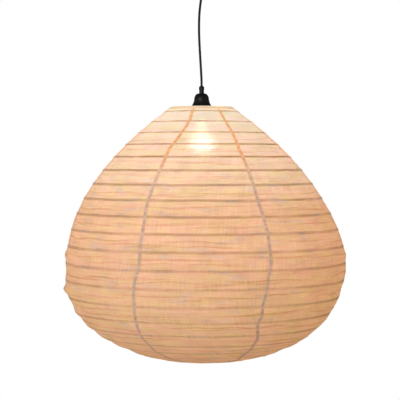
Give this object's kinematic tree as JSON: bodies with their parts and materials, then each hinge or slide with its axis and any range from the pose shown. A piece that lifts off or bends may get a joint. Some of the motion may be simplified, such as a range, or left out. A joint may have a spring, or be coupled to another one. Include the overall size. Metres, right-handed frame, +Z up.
{
  "type": "pendant lantern",
  "caption": "Drop-shaped cloth lantern shade on loose wire hoops, hung by a black cord and lampholder from a ceiling canopy, with a screw-in bulb inside.",
  "frame": {"origin": "middle of the ceiling bracket's top face, where it meets the ceiling", "axes": "+Z up along the cord, +X to the right of the front view, the front faces -Y"},
  "size_m": [0.6997, 0.7002, 0.9796],
  "materials": {
    "cloth_skin": "thin woven cream cloth, lit from inside",
    "seam_cloth": "folded seam allowance, darker than the cloth",
    "hem_cloth": "folded hem at the rim and the mouth",
    "hoop_wire": "thin white-coated steel wire",
    "ring_wire": "white-coated steel wire",
    "black_plastic": "smooth moulded black",
    "cord_sheath": "smooth black flexible sheath",
    "canopy_paint": "satin black paint",
    "zinc_steel": "zinc plated",
    "small_screws": "plated screws",
    "holder_brass": "plain pressed brass",
    "holder_ceramic": "unglazed pale",
    "terminal_plastic": "translucent white",
    "core_sleeve": "one core blue and one brown",
    "bulb_glass": "frosted, lit",
    "bulb_metal": "rolled screw cap",
    "bulb_base_glass": "black glass insulator",
    "filament": "lit filaments on a glass stem"
  },
  "bodies": {
    "ceiling": {"ceiling_bracket": "zinc_steel", "canopy": "canopy_paint", "canopy_screws": "small_screws", "gland_body": "black_plastic", "gland_nut": "zinc_steel", "terminal_block": "terminal_plastic", "terminal_screws": "small_screws", "canopy_wires": "core_sleeve", "cord_tail": "cord_sheath"},
    "cord_joint": {"cord_bend": "cord_sheath"},
    "pendant": {"cord": "cord_sheath", "cord_grip": "black_plastic", "grip_screw": "small_screws", "bell_cover": "black_plastic", "holder_cap": "black_plastic", "contact_block": "holder_ceramic", "centre_contact": "holder_brass", "side_contact": "holder_brass", "thread_shell": "holder_brass", "holder_skirt": "black_plastic", "shade_ring": "black_plastic", "holder_wires": "core_sleeve", "spider": "ring_wire", "top_ring": "ring_wire", "gore_1": "cloth_skin", "gore_2": "cloth_skin", "gore_3": "cloth_skin", "gore_4": "cloth_skin", "gore_5": "cloth_skin", "gore_6": "cloth_skin", "gore_7": "cloth_skin", "seam_tapes": "seam_cloth", "hem_bands": "hem_cloth"},
    "bulb_travel_link": {"bulb_tip": "bulb_metal"},
    "bulb": {"bulb_glass": "bulb_glass", "bulb_cap": "bulb_metal", "bulb_insulator": "bulb_base_glass", "bulb_filament": "filament"},
    "bottom_ring": {"bottom_ring": "ring_wire"},
    "hoop_01": {"hoop_01": "hoop_wire"},
    "hoop_02": {"hoop_02": "hoop_wire"},
    "hoop_03": {"hoop_03": "hoop_wire"},
    "hoop_04": {"hoop_04": "hoop_wire"},
    "hoop_05": {"hoop_05": "hoop_wire"},
    "hoop_06": {"hoop_06": "hoop_wire"},
    "hoop_07": {"hoop_07": "hoop_wire"},
    "hoop_08": {"hoop_08": "hoop_wire"},
    "hoop_09": {"hoop_09": "hoop_wire"},
    "hoop_10": {"hoop_10": "hoop_wire"},
    "hoop_11": {"hoop_11": "hoop_wire"},
    "hoop_12": {"hoop_12": "hoop_wire"},
    "hoop_13": {"hoop_13": "hoop_wire"},
    "hoop_14": {"hoop_14": "hoop_wire"},
    "hoop_15": {"hoop_15": "hoop_wire"},
    "hoop_16": {"hoop_16": "hoop_wire"},
    "hoop_17": {"hoop_17": "hoop_wire"},
    "hoop_18": {"hoop_18": "hoop_wire"},
    "hoop_19": {"hoop_19": "hoop_wire"},
    "hoop_20": {"hoop_20": "hoop_wire"},
    "hoop_21": {"hoop_21": "hoop_wire"}
  },
  "joints": [
    {"name": "swing_side", "type": "hinge", "parent": "ceiling", "child": "cord_joint", "pos_m": [0, 0, -0.06], "axis": [0, 1, 0], "range_deg": [-20, 20]},
    {"name": "swing_fore", "type": "hinge", "parent": "cord_joint", "child": "pendant", "pos_m": [0, 0, -0.06], "axis": [1, 0, 0], "range_deg": [-20, 20]},
    {"name": "shade_fold", "type": "slide", "parent": "pendant", "child": "bottom_ring", "axis": [0, 0, 1], "range_m": [0, 0.53695], "deforming": ["gore_1", "gore_2", "gore_3", "gore_4", "gore_5", "gore_6", "gore_7", "seam_tapes", "hem_bands"]},
    {"name": "hoop_01_slide", "type": "slide", "parent": "pendant", "child": "hoop_01", "axis": [0, 0, 1], "range_m": [0, 0.01238]},
    {"name": "hoop_02_slide", "type": "slide", "parent": "pendant", "child": "hoop_02", "axis": [0, 0, 1], "range_m": [0, 0.03418]},
    {"name": "hoop_03_slide", "type": "slide", "parent": "pendant", "child": "hoop_03", "axis": [0, 0, 1], "range_m": [0, 0.0573]},
    {"name": "hoop_04_slide", "type": "slide", "parent": "pendant", "child": "hoop_04", "axis": [0, 0, 1], "range_m": [0, 0.08177]},
    {"name": "hoop_05_slide", "type": "slide", "parent": "pendant", "child": "hoop_05", "axis": [0, 0, 1], "range_m": [0, 0.10765]},
    {"name": "hoop_06_slide", "type": "slide", "parent": "pendant", "child": "hoop_06", "axis": [0, 0, 1], "range_m": [0, 0.135]},
    {"name": "hoop_07_slide", "type": "slide", "parent": "pendant", "child": "hoop_07", "axis": [0, 0, 1], "range_m": [0, 0.16383]},
    {"name": "hoop_08_slide", "type": "slide", "parent": "pendant", "child": "hoop_08", "axis": [0, 0, 1], "range_m": [0, 0.19421]},
    {"name": "hoop_09_slide", "type": "slide", "parent": "pendant", "child": "hoop_09", "axis": [0, 0, 1], "range_m": [0, 0.22613]},
    {"name": "hoop_10_slide", "type": "slide", "parent": "pendant", "child": "hoop_10", "axis": [0, 0, 1], "range_m": [0, 0.2595]},
    {"name": "hoop_11_slide", "type": "slide", "parent": "pendant", "child": "hoop_11", "axis": [0, 0, 1], "range_m": [0, 0.29419]},
    {"name": "hoop_12_slide", "type": "slide", "parent": "pendant", "child": "hoop_12", "axis": [0, 0, 1], "range_m": [0, 0.32979]},
    {"name": "hoop_13_slide", "type": "slide", "parent": "pendant", "child": "hoop_13", "axis": [0, 0, 1], "range_m": [0, 0.36562]},
    {"name": "hoop_14_slide", "type": "slide", "parent": "pendant", "child": "hoop_14", "axis": [0, 0, 1], "range_m": [0, 0.40043]},
    {"name": "hoop_15_slide", "type": "slide", "parent": "pendant", "child": "hoop_15", "axis": [0, 0, 1], "range_m": [0, 0.43255]},
    {"name": "hoop_16_slide", "type": "slide", "parent": "pendant", "child": "hoop_16", "axis": [0, 0, 1], "range_m": [0, 0.46041]},
    {"name": "hoop_17_slide", "type": "slide", "parent": "pendant", "child": "hoop_17", "axis": [0, 0, 1], "range_m": [0, 0.48334]},
    {"name": "hoop_18_slide", "type": "slide", "parent": "pendant", "child": "hoop_18", "axis": [0, 0, 1], "range_m": [0, 0.50153]},
    {"name": "hoop_19_slide", "type": "slide", "parent": "pendant", "child": "hoop_19", "axis": [0, 0, 1], "range_m": [0, 0.51558]},
    {"name": "hoop_20_slide", "type": "slide", "parent": "pendant", "child": "hoop_20", "axis": [0, 0, 1], "range_m": [0, 0.52604]},
    {"name": "hoop_21_slide", "type": "slide", "parent": "pendant", "child": "hoop_21", "axis": [0, 0, 1], "range_m": [0, 0.53328]},
    {"name": "bulb_travel", "type": "slide", "parent": "pendant", "child": "bulb_travel_link", "axis": [0, 0, -1], "range_m": [0, 0.01815]},
    {"name": "bulb_turn", "type": "hinge", "parent": "bulb_travel_link", "child": "bulb", "pos_m": [0, 0, -0.42], "axis": [0, 0, -1], "range_deg": [0, 1800]}
  ],
  "couplings": [
    {"joint": "hoop_01_slide", "follows": "shade_fold", "ratio": 0.02305},
    {"joint": "hoop_02_slide", "follows": "shade_fold", "ratio": 0.06365},
    {"joint": "hoop_03_slide", "follows": "shade_fold", "ratio": 0.10671},
    {"joint": "hoop_04_slide", "follows": "shade_fold", "ratio": 0.15229},
    {"joint": "hoop_05_slide", "follows": "shade_fold", "ratio": 0.20049},
    {"joint": "hoop_06_slide", "follows": "shade_fold", "ratio": 0.25141},
    {"joint": "hoop_07_slide", "follows": "shade_fold", "ratio": 0.30512},
    {"joint": "hoop_08_slide", "follows": "shade_fold", "ratio": 0.36169},
    {"joint": "hoop_09_slide", "follows": "shade_fold", "ratio": 0.42114},
    {"joint": "hoop_10_slide", "follows": "shade_fold", "ratio": 0.4833},
    {"joint": "hoop_11_slide", "follows": "shade_fold", "ratio": 0.5479},
    {"joint": "hoop_12_slide", "follows": "shade_fold", "ratio": 0.6142},
    {"joint": "hoop_13_slide", "follows": "shade_fold", "ratio": 0.68093},
    {"joint": "hoop_14_slide", "follows": "shade_fold", "ratio": 0.74575},
    {"joint": "hoop_15_slide", "follows": "shade_fold", "ratio": 0.80557},
    {"joint": "hoop_16_slide", "follows": "shade_fold", "ratio": 0.85746},
    {"joint": "hoop_17_slide", "follows": "shade_fold", "ratio": 0.90016},
    {"joint": "hoop_18_slide", "follows": "shade_fold", "ratio": 0.93404},
    {"joint": "hoop_19_slide", "follows": "shade_fold", "ratio": 0.96022},
    {"joint": "hoop_20_slide", "follows": "shade_fold", "ratio": 0.97969},
    {"joint": "hoop_21_slide", "follows": "shade_fold", "ratio": 0.99317},
    {"joint": "bulb_travel", "follows": "bulb_turn", "m_per_rad": 0.00057757}
  ]
}
